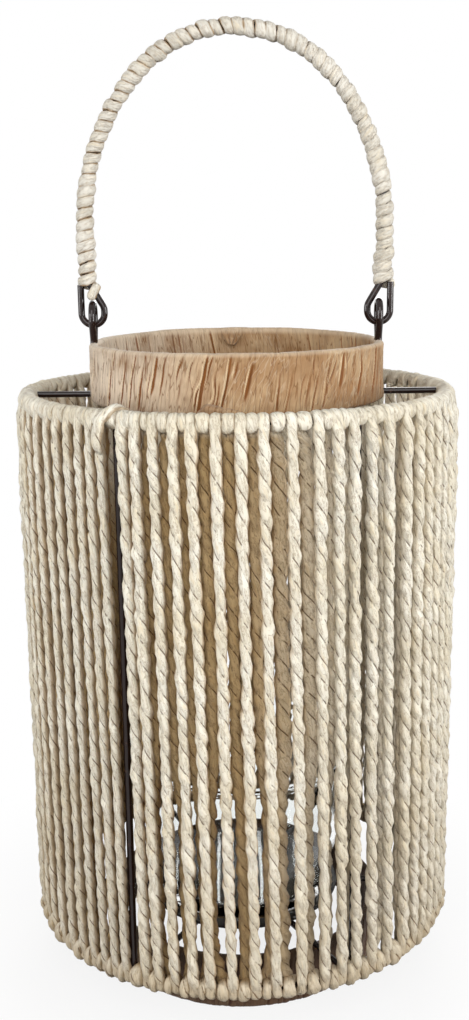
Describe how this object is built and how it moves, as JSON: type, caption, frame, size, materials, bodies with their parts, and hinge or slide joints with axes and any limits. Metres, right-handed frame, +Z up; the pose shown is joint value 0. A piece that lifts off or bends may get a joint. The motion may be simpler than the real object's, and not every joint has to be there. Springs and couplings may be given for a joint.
{
  "type": "hurricane candle lantern",
  "caption": "Tall round candle lantern: a wire cage wound with paper cord between raffia collars, a glass candle cup inside and a cord-served swinging bail handle.",
  "frame": {"origin": "on the floor, under the middle of the foot collar", "axes": "+Z up along the lantern's axis, -Y towards the viewer, +X to the right eye of the handle"},
  "size_m": [0.23, 0.23, 0.4985],
  "materials": {
    "wire": "dark bronze satin",
    "cord": "twisted paper cord, matt",
    "raffia": "wound raffia ribbon",
    "plate": "dark satin",
    "glass": "clear"
  },
  "bodies": {
    "frame": {"bottom_ring": "wire", "top_ring": "wire", "strut_1": "wire", "strut_2": "wire", "strut_3": "wire", "strut_4": "wire", "strut_5": "wire", "strut_6": "wire", "top_spoke_1": "wire", "top_spoke_2": "wire", "bottom_spoke_1": "wire", "bottom_spoke_2": "wire", "bottom_spoke_3": "wire", "bottom_spoke_4": "wire", "bottom_spoke_5": "wire", "bottom_spoke_6": "wire", "foot_collar_lower_hoop": "wire", "foot_collar_upper_hoop": "wire", "top_collar_lower_hoop": "wire", "top_collar_upper_hoop": "wire", "foot_collar_posts": "wire", "top_collar_posts": "wire", "foot_collar_wrap": "raffia", "top_collar_wrap": "raffia", "left_eye": "wire", "right_eye": "wire", "cage_cord_1": "cord", "cage_cord_2": "cord", "cage_cord_3": "cord", "cage_cord_4": "cord", "cage_cord_5": "cord", "cage_cord_6": "cord", "cage_cord_7": "cord", "cage_cord_8": "cord", "cage_cord_9": "cord", "cage_cord_10": "cord", "cage_cord_11": "cord", "cage_cord_12": "cord", "candle_plate": "plate"},
    "handle": {"handle_wire": "wire", "handle_serving_left": "cord", "handle_serving_crown": "cord", "handle_serving_right": "cord"},
    "cup": {"glass_cup": "glass"}
  },
  "joints": [
    {"name": "handle_swing", "type": "hinge", "parent": "frame", "child": "handle", "pos_m": [0, 0, 0.34875], "axis": [1, 0, 0], "range_deg": [-98, 98]},
    {"name": "cup_lift", "type": "slide", "parent": "frame", "child": "cup", "axis": [0, 0, 1], "range_m": [0, 0.29]}
  ]
}
